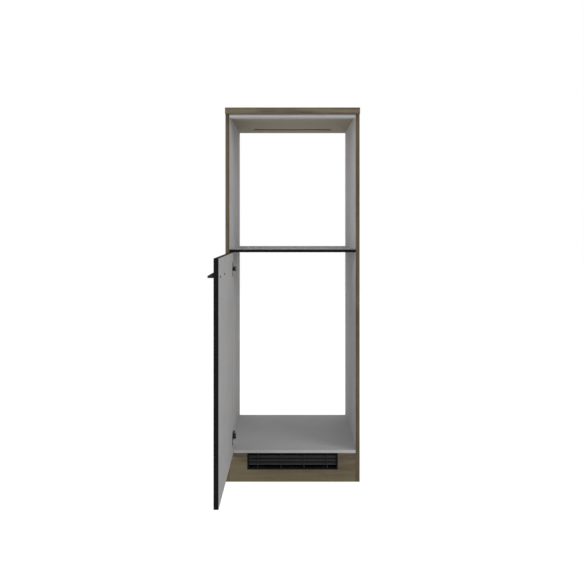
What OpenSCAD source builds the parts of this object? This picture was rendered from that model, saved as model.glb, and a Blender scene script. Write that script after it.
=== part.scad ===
// Tall kitchen cabinet that houses a built-in oven above and a built-in fridge below.
// X runs across the front, Y from the front to the back and Z up from the floor.
// The origin is the middle of the plinth's foot. The door is drawn open at a right angle.

/* [Cabinet] */
// Overall width
cabinet_w = 600; // [560:1:700]
// Depth of the side panels
carcass_d = 596; // [560:1:640]
// Thickness of the side panels
side_t = 18; // [16:1:20]
// Thickness of the shelf, the bottom panel and the front rail
deck_t = 13; // [12:1:19]
// Gap behind the shelf and the bottom panel where warm air rises
air_gap = 26; // [10:1:60]
// Clear height of the fridge niche
fridge_niche_h = 884; // [820:1:1020]
// Clear height of the oven niche up to the top panel
oven_niche_h = 603; // [500:1:680]
// Depth of the narrow rail under the top panel
rail_d = 50; // [45:1:90]
// Thickness of the glued edge strips
edging_t = 1; // [0.6:0.1:1.5]
// Thickness of the black strip on the shelf's front edge
shelf_edging_t = 2; // [1:0.5:4]

/* [Top] */
// Thickness of the top panel
top_t = 28; // [22:1:40]
// How far the top panel stands out over the front
top_overhang = 20; // [0:1:30]
// Length of the ventilation slot
slot_w = 400; // [200:1:460]
// Width of the ventilation slot from front to back
slot_d = 36; // [20:1:60]
// Middle of the slot to the rear edge of the top panel
slot_from_back = 126; // [60:1:200]
// Radius left by the cutter in the slot's corners
slot_corner_r = 6; // [3:1:9]

/* [Plinth and grille] */
// Height of the plinth
plinth_h = 128; // [110:1:170]
// Thickness of the plinth
plinth_t = 16; // [13:1:19]
// Width of the ventilation grille
grille_w = 404; // [300:1:460]
// Height of the ventilation grille
grille_h = 73; // [60:1:85]
// Distance from one louvre to the next
louvre_pitch = 15.7; // [13:0.1:18]
// Number of louvres
louvre_count = 3; // [1:1:3]
// Height that one louvre rises over its depth
louvre_rise = 8; // [5:0.5:10]
// Depth of one louvre
louvre_depth = 12; // [8:1:14]
// Distance between the upright ribs
rib_pitch = 105; // [60:1:120]
// Number of upright ribs
rib_count = 4; // [1:1:4]
// Wall of the moulded grille
grille_wall = 2; // [1.5:0.5:3]
// Width of the lip that covers the plinth's edge
grille_lip = 4; // [3:0.5:8]

/* [Door] */
// Thickness of the door
door_t = 18; // [16:1:22]
// Gap between the closed door and the carcass
door_gap = 2; // [1.5:0.5:4]
// Distance from the door's side edges to the cabinet's outside
door_reveal = 2; // [1:0.5:4]
// How far the door reaches down over the plinth
door_lap = 4; // [0:1:12]

/* [Handle] */
// Distance between the handle's screws
handle_spacing = 160; // [96:1:224]
// How far the handle stands out from the door
handle_projection = 28.5; // [24:0.5:40]
// Height of the handle's bar
handle_bar_h = 8.5; // [7:0.5:14]
// Thickness of the handle's bar
handle_bar_t = 8; // [6:0.5:12]
// Width of one handle leg
handle_leg_w = 12; // [9:0.5:16]
// Free edge of the door to the nearer handle screw
handle_from_edge = 56; // [30:1:90]
// Top of the door to the handle's screws
handle_from_top = 70; // [40:1:200]

/* [Hinges] */
// Top of the door to the upper hinge
hinge_from_top = 74; // [60:1:150]
// Bottom of the door to the lower hinge
hinge_from_bottom = 79; // [60:1:150]
// Diameter of the hinge cup
cup_d = 35; // [35:0.5:37]
// Depth of the hinge cup
cup_depth = 12.7; // [12.2:0.1:13.4]
// Door edge to the rim of the hinge cup
cup_rim_margin = 5; // [4:0.5:6]
// Overall length of the cup's flange
flange_l = 66; // [62:1:70]
// Thickness of the cup's flange
flange_t = 1; // [0.6:0.1:1.2]
// Distance between the cup's two screws
cup_screw_spacing = 45; // [42:1:48]
// Cup centre to the line of its screws
cup_screw_offset = 9.5; // [8:0.5:11]
// Distance between the mounting plate's two screws
plate_screw_spacing = 32; // [32:1:40]
// Front edge of the side panel to the mounting plate's screws
plate_from_front = 37; // [37:1:45]

/* [Hidden] */
$fn = 48;

// Colours as the photograph shows them
decor = [0.42, 0.38, 0.32];
melamine = [0.80, 0.80, 0.79];
black = [0.07, 0.07, 0.07];
zinc = [0.72, 0.73, 0.74];
nickel = [0.62, 0.63, 0.64];
beech = [0.80, 0.66, 0.46];

// Main planes of the carcass
front = -plinth_t / 2;
back = front + carcass_d;
inner_w = cabinet_w - 2 * side_t;
deck_d = carcass_d - air_gap;
bottom_z = plinth_h;
shelf_z = bottom_z + deck_t + fridge_niche_h;
side_h = shelf_z + deck_t + oven_niche_h;
rail_z = side_h - deck_t;
side_mid_x = (cabinet_w - side_t) / 2;

// Door in its closed place
door_left = -cabinet_w / 2 + door_reveal;
door_right = cabinet_w / 2 - door_reveal;
door_w = door_right - door_left;
door_z = plinth_h - door_lap;
door_top = shelf_z;
door_h = door_top - door_z;
door_in = front - door_gap;
door_out = door_in - door_t;

// Panel fittings: steel bolts drawn tight by eccentric locks, and dowels beside them
fit = 0.05;
seat = 0.1;
cam_d = 15;
cam_depth = 9.5;
side_cam_depth = 12.5;
cam_setback = 34;
bolt_thread_d = 5;
bolt_thread_l = 11;
bolt_stem_d = 4.4;
bolt_head_d = 6.6;
bolt_head_l = 3;
bolt_bore_d = 8;
thin_dowel_d = 6;
thick_dowel_d = 8;
dowel_in = 18;
dowel_out = 12;
dowel_chamfer = 1;
cap_d = 17;
cap_t = 1;
cam_from_end = 70;
dowel_from_end = 38;
top_dowel_from_front = 46;
rail_cam_y = 32;
rail_dowel_y = 12;
plinth_dowel_z = [30, plinth_h - 30];

// Each deck joint: height of the bolts, places of the cams, places of the dowels
rail_joint = [rail_z + deck_t / 2, [front + rail_cam_y], [front + rail_dowel_y]];
shelf_joint = [shelf_z + deck_t / 2,
    [front + cam_from_end, front + deck_d - cam_from_end],
    [front + dowel_from_end, front + deck_d - dowel_from_end]];
bottom_joint = [bottom_z + deck_t / 2, shelf_joint[1], shelf_joint[2]];
deck_joints = [rail_joint, shelf_joint, bottom_joint];
top_cam_y = [front + cam_from_end, back - cam_from_end];
top_dowel_y = [front + top_dowel_from_front, front + carcass_d / 2, back - dowel_from_end];

// Concealed hinge: places of its axles on the carcass and in the closed door
function turned(p, about, angle) = about + [
    (p[0] - about[0]) * cos(angle) - (p[1] - about[1]) * sin(angle),
    (p[0] - about[0]) * sin(angle) + (p[1] - about[1]) * cos(angle)];
link_turn = 38;
arm_pin_inner = [door_left + 32, front + 17];
arm_pin_outer = [door_left + 42, front + 4];
cup_pin_depth = 3.5;
cup_pin_inner = [door_left + 11, door_in - cup_pin_depth];
cup_pin_outer = [door_left + 17, door_in - cup_pin_depth];
// The links turn by link_turn while the door turns by a right angle, which sets the open place
open_pin_inner = turned(cup_pin_inner, arm_pin_inner, link_turn);
open_pin_outer = open_pin_inner + [cup_pin_outer[1] - cup_pin_inner[1], cup_pin_inner[0] - cup_pin_outer[0]];
hinge_z = [door_z + hinge_from_bottom, door_top - hinge_from_top];

pin_d = 2.5;
link_t = 2;
link_bend = 1.4;
eye_wall = 1.3;
eye_d = pin_d + 2 * fit + 2 * eye_wall;
inner_link_h = 8;
outer_link_h = 14;
outer_arm_t = 2.4;
// The outer link's arm end runs loose round its pin, where the chain of links is opened
loose_eye_d = 6.5;
loose_eye_wall = 1.2;
loose_eye_at = arm_pin_outer + [-0.44, -0.35];
inner_link_path = [arm_pin_inner, arm_pin_inner + [0.5, -9], arm_pin_inner + [4.8, -16.5],
    arm_pin_inner + [7, -23.5], arm_pin_inner + [4.8, -29], open_pin_inner + [3.9, -0.4], open_pin_inner];
outer_link_path = [loose_eye_at, open_pin_outer + [11.5, 17.2], open_pin_outer + [14.7, 10.7],
    open_pin_outer + [13.3, 5.1], open_pin_outer + [6.2, 0.9], open_pin_outer];

channel_gap = 0.4;
cheek_t = 1.4;
channel_in = outer_link_h / 2 + channel_gap;
channel_out = channel_in + cheek_t;
arm_l = 62;
arm_web_l = 40;
arm_rear = front + arm_l;
web_front = arm_rear - arm_web_l;
web_top = arm_pin_inner[0] + 4;
web_t = 1.4;
nose_r = 3.6;
panel_face = -inner_w / 2;
wing_t = 2;
wing_face = panel_face + wing_t;
wing_h = plate_screw_spacing + 20;
wing_d = 24;
block_l = 34.4;
block_rear = arm_rear - 2;
block_front = block_rear - block_l;
block_top = arm_pin_inner[0] - 2.2;
block_h = 2 * channel_in - 1;
lock_screw_y = arm_rear - 12;
adjust_screw_y = arm_rear - 30;
machine_screw_d = 5.8;
lock_shank_d = 4;
lock_shank_l = 5;
lock_head_d = 8;
screw_stand = 0.6;
euro_d = 6;
euro_l = 13;
euro_head_d = 9.5;

cup_wall = 0.8;
cup_floor = 1;
cup_x = door_left + cup_rim_margin + cup_d / 2;
pin_reach = 10.5;
stub_start = inner_link_h / 2 + 0.4;
flange_w = 16;
flange_rim = 1.7;
wood_screw_d = 3.5;
wood_screw_l = 12;
wood_screw_head_d = 6.5;
wood_screw_head_h = 1.8;

handle_screw_d = 4;
handle_screw_head_d = 8;
handle_screw_head_h = 2.6;
handle_grip = 12;
handle_x = door_right - handle_from_edge - handle_spacing / 2;
handle_z = door_top - handle_from_top;
bumper_d = 8;
bumper_t = 1.4;
bumper_inset = 12;

bracket_w = 30;
bracket_leg = 34;
bracket_t = 2;
bracket_x = (grille_w / 2 + inner_w / 2) / 2;
bracket_screw_l = 10;

grille_proud = 1;
grille_play = 0.5;
grille_body_w = grille_w - 2 * grille_lip;
grille_low = plinth_h - grille_h;
louvre_t = 2;
first_louvre = 16.4;
rib_t = 2;
clip_w = 20;
clip_reach = 1.5;
clip_l = 3;

// Shared shapes
module block(x0, x1, y0, y1, z0, z1) {
    translate([x0, y0, z0]) cube([x1 - x0, y1 - y0, z1 - z0]);
}

module rod_x(d, x0, x1) {
    translate([x0, 0, 0]) rotate([0, 90, 0]) cylinder(d = d, h = x1 - x0);
}

// Bent steel strip: the path's corners are eased, then each side is set off by half the thickness
function unit(v) = v / norm(v);
function eased(path, ease) = [path[0],
    for (i = [1 : len(path) - 2])
        let (b = path[i], a = b + ease * unit(path[i - 1] - b), c = b + ease * unit(path[i + 1] - b))
        each [a, (a + 2 * b + c) / 4, c],
    path[len(path) - 1]];
function strip_side(path, off) = [for (i = [0 : len(path) - 1])
    let (last = len(path) - 1,
        before = i > 0 ? unit(path[i] - path[i - 1]) : unit(path[1] - path[0]),
        after = i < last ? unit(path[i + 1] - path[i]) : before,
        side = [-before[1], before[0]],
        mitre = unit(side + [-after[1], after[0]]))
    path[i] + off * mitre / (mitre * side)];

module strip_2d(path, t) {
    left = strip_side(path, t / 2);
    right = strip_side(path, -t / 2);
    polygon([each left, for (i = [len(right) - 1 : -1 : 0]) right[i]]);
}

module both_sides() {
    children();
    mirror([1, 0, 0]) children();
}

// Places of the panel fittings. Local X runs from the joint into the board that is held,
// and local Z from the open side of the eccentric lock into that board.
module at_deck_cams(joints) {
    both_sides() for (j = joints) for (y = j[1]) translate([-inner_w / 2, y, j[0]]) children();
}

module at_deck_dowels(joints) {
    both_sides() for (j = joints) for (y = j[2]) translate([-inner_w / 2, y, j[0]]) children();
}

module at_top_joint(places) {
    both_sides() for (y = places) translate([side_mid_x, y, side_h]) rotate([0, 90, 0]) children();
}

module at_plinth_dowels() {
    both_sides() for (z = plinth_dowel_z) translate([-inner_w / 2, 0, z]) children();
}

module cam_cut(depth, axis_depth) {
    rod_x(bolt_bore_d, -seat, cam_setback);
    translate([cam_setback, 0, -axis_depth - seat]) cylinder(d = cam_d, h = depth + seat);
}

module cam_lock(depth, axis_depth) {
    color(zinc) translate([cam_setback, 0, 0]) difference() {
        translate([0, 0, -axis_depth]) cylinder(d = cam_d - 2 * seat, h = depth - seat);
        rod_x(bolt_stem_d + 0.8, -cam_d, 0);
        rod_x(bolt_head_d + 0.8, -bolt_head_l - 0.6, 0.6);
        for (a = [0, 90]) rotate(a) translate([-3.2, -0.7, -axis_depth - 1]) cube([6.4, 1.4, 2.6]);
    }
}

module cam_bolt() {
    color(zinc) {
        rod_x(bolt_thread_d - 2 * fit, -bolt_thread_l, 0.5);
        rod_x(bolt_stem_d, 0.4, cam_setback - 0.5);
        rod_x(bolt_head_d, cam_setback - bolt_head_l, cam_setback);
    }
}

module cam_cap(axis_depth) {
    color(melamine) translate([cam_setback, 0, -axis_depth - cap_t]) {
        translate([0, 0, 0.4]) cylinder(d = cap_d, h = cap_t - 0.4);
        cylinder(d1 = cap_d - 0.8, d2 = cap_d, h = 0.4);
    }
}

module dowel(d) {
    color(beech) {
        rod_x(d - 2 * fit, -dowel_out + dowel_chamfer, dowel_in - dowel_chamfer);
        translate([dowel_in - dowel_chamfer, 0, 0]) rotate([0, 90, 0])
            cylinder(d1 = d - 2 * fit, d2 = d - 2 * dowel_chamfer, h = dowel_chamfer);
        translate([dowel_chamfer - dowel_out, 0, 0]) rotate([0, -90, 0])
            cylinder(d1 = d - 2 * fit, d2 = d - 2 * dowel_chamfer, h = dowel_chamfer);
    }
}

module dowel_cut(d) {
    rod_x(d, -dowel_out - 0.5, dowel_in + 0.5);
}

// Side panels, each with a glued strip on its front edge
module side_board() {
    difference() {
        block(-cabinet_w / 2, -inner_w / 2, front + edging_t, back, 0, side_h);
        at_deck_cams(deck_joints) rod_x(bolt_thread_d, -bolt_thread_l - 0.5, seat);
        for (j = deck_joints) at_deck_dowels([j]) dowel_cut(thin_dowel_d);
        translate([0, front + plinth_t / 2, 0]) at_plinth_dowels() dowel_cut(thick_dowel_d);
        at_top_joint(top_cam_y) cam_cut(side_cam_depth, side_t / 2);
        at_top_joint(top_dowel_y) dowel_cut(thick_dowel_d);
    }
}

module left_side_panel() {
    color(decor) difference() {
        side_board();
        at_plate_screws() rod_x(euro_d, -euro_l - 0.5 - wing_t, 0);
    }
}

module right_side_panel() {
    color(decor) mirror([1, 0, 0]) side_board();
}

module side_edge_bands() {
    color(decor) both_sides() block(-cabinet_w / 2, -inner_w / 2, front, front + edging_t, 0, side_h);
}

// Top panel with its long slot for rising warm air
module top_slot_2d() {
    square([slot_w - 2 * slot_corner_r, slot_d], center = true);
    square([slot_w, slot_d - 2 * slot_corner_r], center = true);
    for (sx = [-1, 1]) for (sy = [-1, 1])
        translate([sx * (slot_w / 2 - slot_corner_r), sy * (slot_d / 2 - slot_corner_r)])
            circle(r = slot_corner_r);
}

module top_panel() {
    color(decor) difference() {
        block(-cabinet_w / 2, cabinet_w / 2, front - top_overhang, back, side_h, side_h + top_t);
        translate([0, back - slot_from_back, side_h - 1]) linear_extrude(top_t + 2) top_slot_2d();
        at_top_joint(top_cam_y) rod_x(bolt_thread_d, -bolt_thread_l - 0.5, seat);
        at_top_joint(top_dowel_y) dowel_cut(thick_dowel_d);
    }
}

// Decks: the front rail, the shelf and the bottom panel
module deck(joint, z, y0, y1) {
    color(melamine) difference() {
        block(-inner_w / 2, inner_w / 2, y0, y1, z, z + deck_t);
        at_deck_cams([joint]) cam_cut(cam_depth, deck_t / 2);
        at_deck_dowels([joint]) dowel_cut(thin_dowel_d);
    }
}

module front_top_rail() {
    deck(rail_joint, rail_z, front, front + rail_d);
}

module oven_shelf() {
    deck(shelf_joint, shelf_z, front + shelf_edging_t, front + deck_d);
}

module shelf_front_edge() {
    color(black)
        block(-inner_w / 2, inner_w / 2, front, front + shelf_edging_t, shelf_z, shelf_z + deck_t);
}

module bottom_panel() {
    color(melamine) difference() {
        deck(bottom_joint, bottom_z, front, front + deck_d);
        at_brackets() bracket_screw_cuts();
    }
}

// Plinth with the notch that takes the grille
module plinth_panel() {
    color(decor) difference() {
        block(-inner_w / 2, inner_w / 2, front, front + plinth_t, 0, plinth_h);
        block(-grille_body_w / 2, grille_body_w / 2, front - 1, front + plinth_t + 1,
            grille_low + grille_lip, plinth_h + 1);
        translate([0, front + plinth_t / 2, 0]) at_plinth_dowels() dowel_cut(thick_dowel_d);
        at_brackets() bracket_screw_cuts();
    }
}

// Moulded grille: a frame with a lip, sloping louvres, upright ribs and snap hooks
module louvre_2d() {
    polygon([[0, -louvre_rise / 2], [louvre_t * 0.6, -louvre_rise / 2 - louvre_t * 0.5],
        [louvre_depth, louvre_rise / 2 - louvre_t * 0.5], [louvre_depth, louvre_rise / 2 + louvre_t * 0.5],
        [louvre_t * 0.3, -louvre_rise / 2 + louvre_t * 0.6]]);
}

module snap_hook() {
    // Local X points outwards, Z along the hook's width, Y to the back
    linear_extrude(clip_w, center = true)
        polygon([[-grille_wall, 0], [0, 0], [0, plinth_t + seat], [clip_reach + grille_play, plinth_t + seat],
            [clip_reach + grille_play, plinth_t + 1], [0, plinth_t + 1 + clip_l],
            [-grille_wall, plinth_t + 1 + clip_l]]);
}

module ventilation_grille() {
    half_w = grille_body_w / 2 - grille_play;
    low = grille_low + grille_lip + grille_play;
    high = plinth_h - grille_play;
    body_d = plinth_t - 2;
    color(black) {
        difference() {
            union() {
                block(-grille_w / 2, grille_w / 2, front - grille_proud, front, grille_low, plinth_h);
                block(-half_w, half_w, front - grille_proud, front + body_d, low, high);
            }
            block(-half_w + grille_wall, half_w - grille_wall, front - grille_proud - 1, front + body_d + 1,
                low + grille_wall, high - grille_wall);
        }
        for (i = [0 : louvre_count - 1])
            translate([-half_w + grille_wall / 2, front, plinth_h - first_louvre - i * louvre_pitch])
                rotate([90, 0, 90]) linear_extrude(2 * half_w - grille_wall) louvre_2d();
        for (i = [0 : rib_count - 1]) {
            rib_x = (i - (rib_count - 1) / 2) * rib_pitch;
            block(rib_x - rib_t / 2, rib_x + rib_t / 2, front - 0.5, front + louvre_depth,
                low + grille_wall / 2, high - grille_wall / 2);
        }
        both_sides() translate([half_w, front, (low + high) / 2]) snap_hook();
        for (s = [-1, 0, 1])
            translate([s * grille_w / 3, front, low]) rotate([0, 90, 0]) snap_hook();
    }
}

// Steel angles that tie the plinth to the bottom panel
module at_brackets() {
    both_sides() translate([bracket_x, front + plinth_t, bottom_z]) children();
}

module at_bracket_screws() {
    for (s = [-1, 1]) {
        translate([s * bracket_w / 4, bracket_leg * 0.65, -bracket_t]) rotate([180, 0, 0]) children();
        translate([s * bracket_w / 4, bracket_t, -bracket_leg * 0.65]) rotate([-90, 0, 0]) children();
    }
}

module bracket_screw_cuts() {
    at_bracket_screws() translate([0, 0, -bracket_screw_l - 0.3])
        cylinder(d = wood_screw_d, h = bracket_screw_l);
}

module plinth_bracket() {
    difference() {
        union() {
            block(-bracket_w / 2, bracket_w / 2, 0, bracket_leg, -bracket_t, 0);
            block(-bracket_w / 2, bracket_w / 2, 0, bracket_t, -bracket_leg, 0);
            for (s = [-1, 0, 1]) translate([s * (bracket_w / 2 - 1), 0, 0]) rotate([90, 0, 90])
                linear_extrude(1.6, center = true)
                    polygon([[bracket_t, -bracket_t], [bracket_t + 6, -bracket_t],
                        [bracket_t, -bracket_t - 6]]);
        }
        at_bracket_screws() translate([0, 0, -bracket_t - 1])
            cylinder(d = wood_screw_d + 0.6, h = bracket_t + 2);
    }
}

module plinth_brackets() {
    color(zinc) at_brackets() plinth_bracket();
}

// Pan-head screw: local Z points out of the surface that its head sits on
module pan_screw(d, l, head_d, head_h) {
    difference() {
        union() {
            cylinder(d = head_d, h = head_h * 0.6);
            translate([0, 0, head_h * 0.6]) cylinder(d1 = head_d, d2 = head_d * 0.62, h = head_h * 0.4);
            translate([0, 0, -l]) cylinder(d = d, h = l);
        }
        for (a = [0, 90]) rotate(a) translate([-head_d * 0.28, -0.5, head_h * 0.45])
            cube([head_d * 0.56, 1, head_h]);
    }
}

module bracket_screws() {
    color(zinc) at_brackets() at_bracket_screws()
        pan_screw(wood_screw_d - 2 * fit, bracket_screw_l - 0.2, wood_screw_head_d, 2);
}

module panel_dowels() {
    at_deck_dowels(deck_joints) dowel(thin_dowel_d);
    at_top_joint(top_dowel_y) dowel(thick_dowel_d);
    translate([0, front + plinth_t / 2, 0]) at_plinth_dowels() dowel(thick_dowel_d);
}

module cam_locks() {
    at_deck_cams(deck_joints) cam_lock(cam_depth, deck_t / 2);
    at_top_joint(top_cam_y) cam_lock(side_cam_depth, side_t / 2);
}

module cam_bolts() {
    at_deck_cams(deck_joints) cam_bolt();
    at_top_joint(top_cam_y) cam_bolt();
}

module cam_cover_caps() {
    at_deck_cams([rail_joint, shelf_joint]) cam_cap(deck_t / 2);
    at_top_joint(top_cam_y) cam_cap(side_t / 2);
}

// Concealed hinges, carcass side
module at_hinges() {
    for (z = hinge_z) translate([0, 0, z]) children();
}

module at_plate_screws() {
    at_hinges() for (s = [-1, 1])
        translate([wing_face, front + plate_from_front, s * plate_screw_spacing / 2]) children();
}

module hinge_mounting_plates() {
    corner = 5;
    color(nickel) difference() {
        at_hinges() {
            translate([panel_face, front + plate_from_front, 0]) rotate([90, 0, 90]) linear_extrude(wing_t) {
                square([wing_d, wing_h - 2 * corner], center = true);
                square([wing_d - 2 * corner, wing_h], center = true);
                for (sx = [-1, 1]) for (sy = [-1, 1])
                    translate([sx * (wing_d / 2 - corner), sy * (wing_h / 2 - corner)]) circle(r = corner);
            }
            block(panel_face, block_top, block_front, block_rear, -block_h / 2, block_h / 2);
        }
        at_plate_screws() {
            rod_x(euro_d + 0.6, -wing_t - 1, 1);
            translate([-wing_t + 0.2, 0, 0]) rotate([0, 90, 0])
                cylinder(d1 = euro_d + 0.6, d2 = euro_head_d + 0.6, h = wing_t - 0.19);
        }
        at_hinges() translate([block_top, lock_screw_y, 0]) rod_x(lock_shank_d + 0.2, -lock_shank_l - 0.5, 1);
    }
}

module plate_screws() {
    color(zinc) at_plate_screws() difference() {
        union() {
            rod_x(euro_d - 2 * fit, -euro_l - wing_t, -wing_t + 0.3);
            translate([-wing_t + 0.3, 0, 0]) rotate([0, 90, 0])
                cylinder(d1 = euro_d - 2 * fit, d2 = euro_head_d, h = wing_t - 0.3);
        }
        for (a = [0, 90]) rotate([a, 0, 0]) block(-1.2, 1, -2.4, 2.4, -0.5, 0.5);
    }
}

module arm_side_2d() {
    polygon([[wing_face, arm_rear], [web_top, arm_rear], [web_top, web_front],
        [arm_pin_outer[0] + nose_r, arm_pin_outer[1] + 1], [arm_pin_outer[0] + nose_r, arm_pin_outer[1]],
        [arm_pin_outer[0], arm_pin_outer[1] - nose_r], [wing_face, front + 12]]);
    translate(arm_pin_outer) circle(r = nose_r);
}

module hinge_arm() {
    difference() {
        union() {
            for (s = [-1, 1]) translate([0, 0, s * (channel_in + channel_out) / 2])
                linear_extrude(cheek_t, center = true) arm_side_2d();
            block(web_top - web_t, web_top, web_front, arm_rear, -channel_out, channel_out);
        }
        for (p = [arm_pin_inner, arm_pin_outer])
            translate([p[0], p[1], -channel_out - 1]) cylinder(d = pin_d + 2 * fit, h = 2 * channel_out + 2);
        translate([web_top, adjust_screw_y, 0]) rod_x(machine_screw_d + 2 * seat, -web_t - 1, 1);
        translate([web_top, lock_screw_y, 0]) rod_x(lock_shank_d + 1, -web_t - 1, 1);
    }
}

module hinge_arms() {
    color(nickel) at_hinges() hinge_arm();
}

module arm_pins() {
    color(zinc) at_hinges() for (p = [arm_pin_inner, arm_pin_outer])
        translate([p[0], p[1], -channel_out - 0.3]) cylinder(d = pin_d, h = 2 * channel_out + 0.6);
}

module arm_screws() {
    slot_depth = 1.2;
    color(zinc) at_hinges() {
        translate([web_top, adjust_screw_y, 0]) difference() {
            rod_x(machine_screw_d, block_top - web_top, screw_stand);
            for (a = [0, 90]) rotate([a, 0, 0]) block(screw_stand - slot_depth, 2, -2, 2, -0.5, 0.5);
        }
        translate([web_top, lock_screw_y, 0]) difference() {
            union() {
                rod_x(lock_shank_d, block_top - web_top - lock_shank_l, 0.1);
                rod_x(lock_head_d, 0, screw_stand + 1);
            }
            for (a = [0, 90]) rotate([a, 0, 0]) block(screw_stand + 1 - slot_depth, 3, -2.4, 2.4, -0.5, 0.5);
        }
    }
}

// Bent leaf spring between the mounting plate's block and the inner link's eye
module arm_springs() {
    leaf_t = 0.6;
    leaf_h = 7;
    leaf_y = block_front - leaf_t / 2;
    color(zinc) at_hinges() linear_extrude(leaf_h, center = true)
        strip_2d(eased([[wing_face + 1.5, leaf_y], [arm_pin_inner[0] - 6, leaf_y],
            [arm_pin_inner[0] - 0.5, arm_pin_inner[1] + eye_d / 2 + 0.7]], 1.5), leaf_t);
}

// Links of the concealed hinges
module inner_links() {
    color(nickel) at_hinges() difference() {
        linear_extrude(inner_link_h, center = true) {
            strip_2d(eased(inner_link_path, link_bend), link_t);
            translate(arm_pin_inner) circle(d = eye_d);
            translate(open_pin_inner) circle(d = eye_d);
        }
        for (p = [arm_pin_inner, open_pin_inner])
            translate([p[0], p[1], -inner_link_h]) cylinder(d = pin_d + 2 * fit, h = 2 * inner_link_h);
    }
}

module outer_links() {
    arm_mid = (outer_link_h - outer_arm_t) / 2;
    color(black) at_hinges() difference() {
        union() {
            for (s = [-1, 1]) translate([0, 0, s * arm_mid]) linear_extrude(outer_arm_t, center = true) {
                strip_2d(eased(outer_link_path, link_bend), link_t);
                translate(open_pin_outer) circle(d = eye_d);
                translate(loose_eye_at) circle(d = loose_eye_d + 2 * loose_eye_wall);
            }
            linear_extrude(outer_link_h - 0.4, center = true)
                strip_2d([outer_link_path[2], outer_link_path[3]], link_t - 0.4);
        }
        translate([open_pin_outer[0], open_pin_outer[1], -outer_link_h])
            cylinder(d = pin_d + 2 * fit, h = 2 * outer_link_h);
        translate([loose_eye_at[0], loose_eye_at[1], -outer_link_h])
            cylinder(d = loose_eye_d, h = 2 * outer_link_h);
    }
}

// Door side. Everything below is drawn on the closed door, then swung open.
module opened() {
    translate([open_pin_inner[0], open_pin_inner[1], 0]) rotate([0, 0, -90])
        translate([-cup_pin_inner[0], -cup_pin_inner[1], 0]) children();
}

module at_cups() {
    at_hinges() translate([cup_x, door_in, 0]) rotate([90, 0, 0]) children();
}

module cup_pin_bores() {
    at_hinges() {
        translate([cup_pin_inner[0], cup_pin_inner[1], -pin_reach])
            cylinder(d = pin_d + 2 * fit, h = 2 * pin_reach);
        translate([cup_pin_outer[0], cup_pin_outer[1], -pin_reach])
            cylinder(d = pin_d + 2 * fit, h = 2 * pin_reach);
    }
}

module hinge_cups() {
    pocket_d = cup_d - 2 * cup_wall;
    color(nickel) opened() difference() {
        at_cups() difference() {
            union() {
                cylinder(d = cup_d - 2 * seat, h = cup_depth);
                translate([0, 0, -flange_t]) linear_extrude(flange_t) {
                    circle(d = cup_d + 2 * flange_rim);
                    translate([cup_screw_offset, 0]) {
                        square([flange_w, flange_l - flange_w], center = true);
                        for (s = [-1, 1]) translate([0, s * (flange_l - flange_w) / 2]) circle(d = flange_w);
                    }
                }
            }
            intersection() {
                translate([0, 0, -flange_t - 1])
                    cylinder(d = pocket_d, h = flange_t + 1 + cup_depth - cup_floor);
                block(-cup_d, cup_d, -channel_in, channel_in, -flange_t - 2, cup_depth);
            }
            for (s = [-1, 1]) translate([cup_screw_offset, s * cup_screw_spacing / 2, -flange_t - 1])
                cylinder(d = wood_screw_d + 0.6, h = flange_t + 2);
        }
        cup_pin_bores();
    }
}

module cup_pins() {
    color(zinc) opened() at_hinges() {
        translate([cup_pin_inner[0], cup_pin_inner[1], 0.1 - pin_reach])
            cylinder(d = pin_d, h = 2 * pin_reach - 0.2);
        for (s = [-1, 1])
            translate([cup_pin_outer[0], cup_pin_outer[1], s * (stub_start + pin_reach - 0.1) / 2])
                cylinder(d = pin_d, h = pin_reach - 0.1 - stub_start, center = true);
    }
}

module at_cup_screws() {
    at_cups() for (s = [-1, 1])
        translate([cup_screw_offset, s * cup_screw_spacing / 2, -flange_t]) rotate([180, 0, 0]) children();
}

module cup_screws() {
    color(zinc) opened() at_cup_screws()
        pan_screw(wood_screw_d - 2 * fit, wood_screw_l, wood_screw_head_d, wood_screw_head_h);
}

module at_handle_screws() {
    for (s = [-1, 1]) translate([handle_x + s * handle_spacing / 2, door_in, handle_z])
        rotate([-90, 0, 0]) children();
}

module door_panel() {
    color(black) opened() difference() {
        block(door_left + edging_t, door_right - edging_t, door_out, door_in,
            door_z + edging_t, door_top - edging_t);
        at_cups() translate([0, 0, -1]) cylinder(d = cup_d, h = cup_depth + 1 + seat);
        at_cup_screws() translate([0, 0, -wood_screw_l - 0.3]) cylinder(d = wood_screw_d, h = wood_screw_l);
        at_handle_screws() translate([0, 0, -door_t - 1]) cylinder(d = handle_screw_d + 0.6, h = door_t + 2);
    }
}

module door_edge_band() {
    color(black) opened() difference() {
        block(door_left, door_right, door_out, door_in, door_z, door_top);
        block(door_left + edging_t, door_right - edging_t, door_out - 1, door_in + 1,
            door_z + edging_t, door_top - edging_t);
    }
}

// Bow handle: a bar on two legs, with rounded outer and inner corners
module bow_2d(w, h, r) {
    translate([-w / 2 + r, -h]) square([w - 2 * r, h]);
    translate([-w / 2, -h + r]) square([w, h - r]);
    for (s = [-1, 1]) translate([s * (w / 2 - r), r - h]) circle(r = r);
}

module door_handle() {
    color(black) opened() difference() {
        translate([handle_x, door_out, handle_z]) linear_extrude(handle_bar_h, center = true) difference() {
            bow_2d(handle_spacing + handle_leg_w, handle_projection, 5);
            translate([0, 1]) bow_2d(handle_spacing - handle_leg_w, handle_projection - handle_bar_t + 1, 3);
        }
        at_handle_screws() translate([0, 0, -door_t - handle_grip - 0.5])
            cylinder(d = handle_screw_d, h = handle_grip + 1);
    }
}

module handle_screws() {
    color(zinc) opened() at_handle_screws()
        pan_screw(handle_screw_d - 2 * fit, door_t + handle_grip, handle_screw_head_d, handle_screw_head_h);
}

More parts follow.
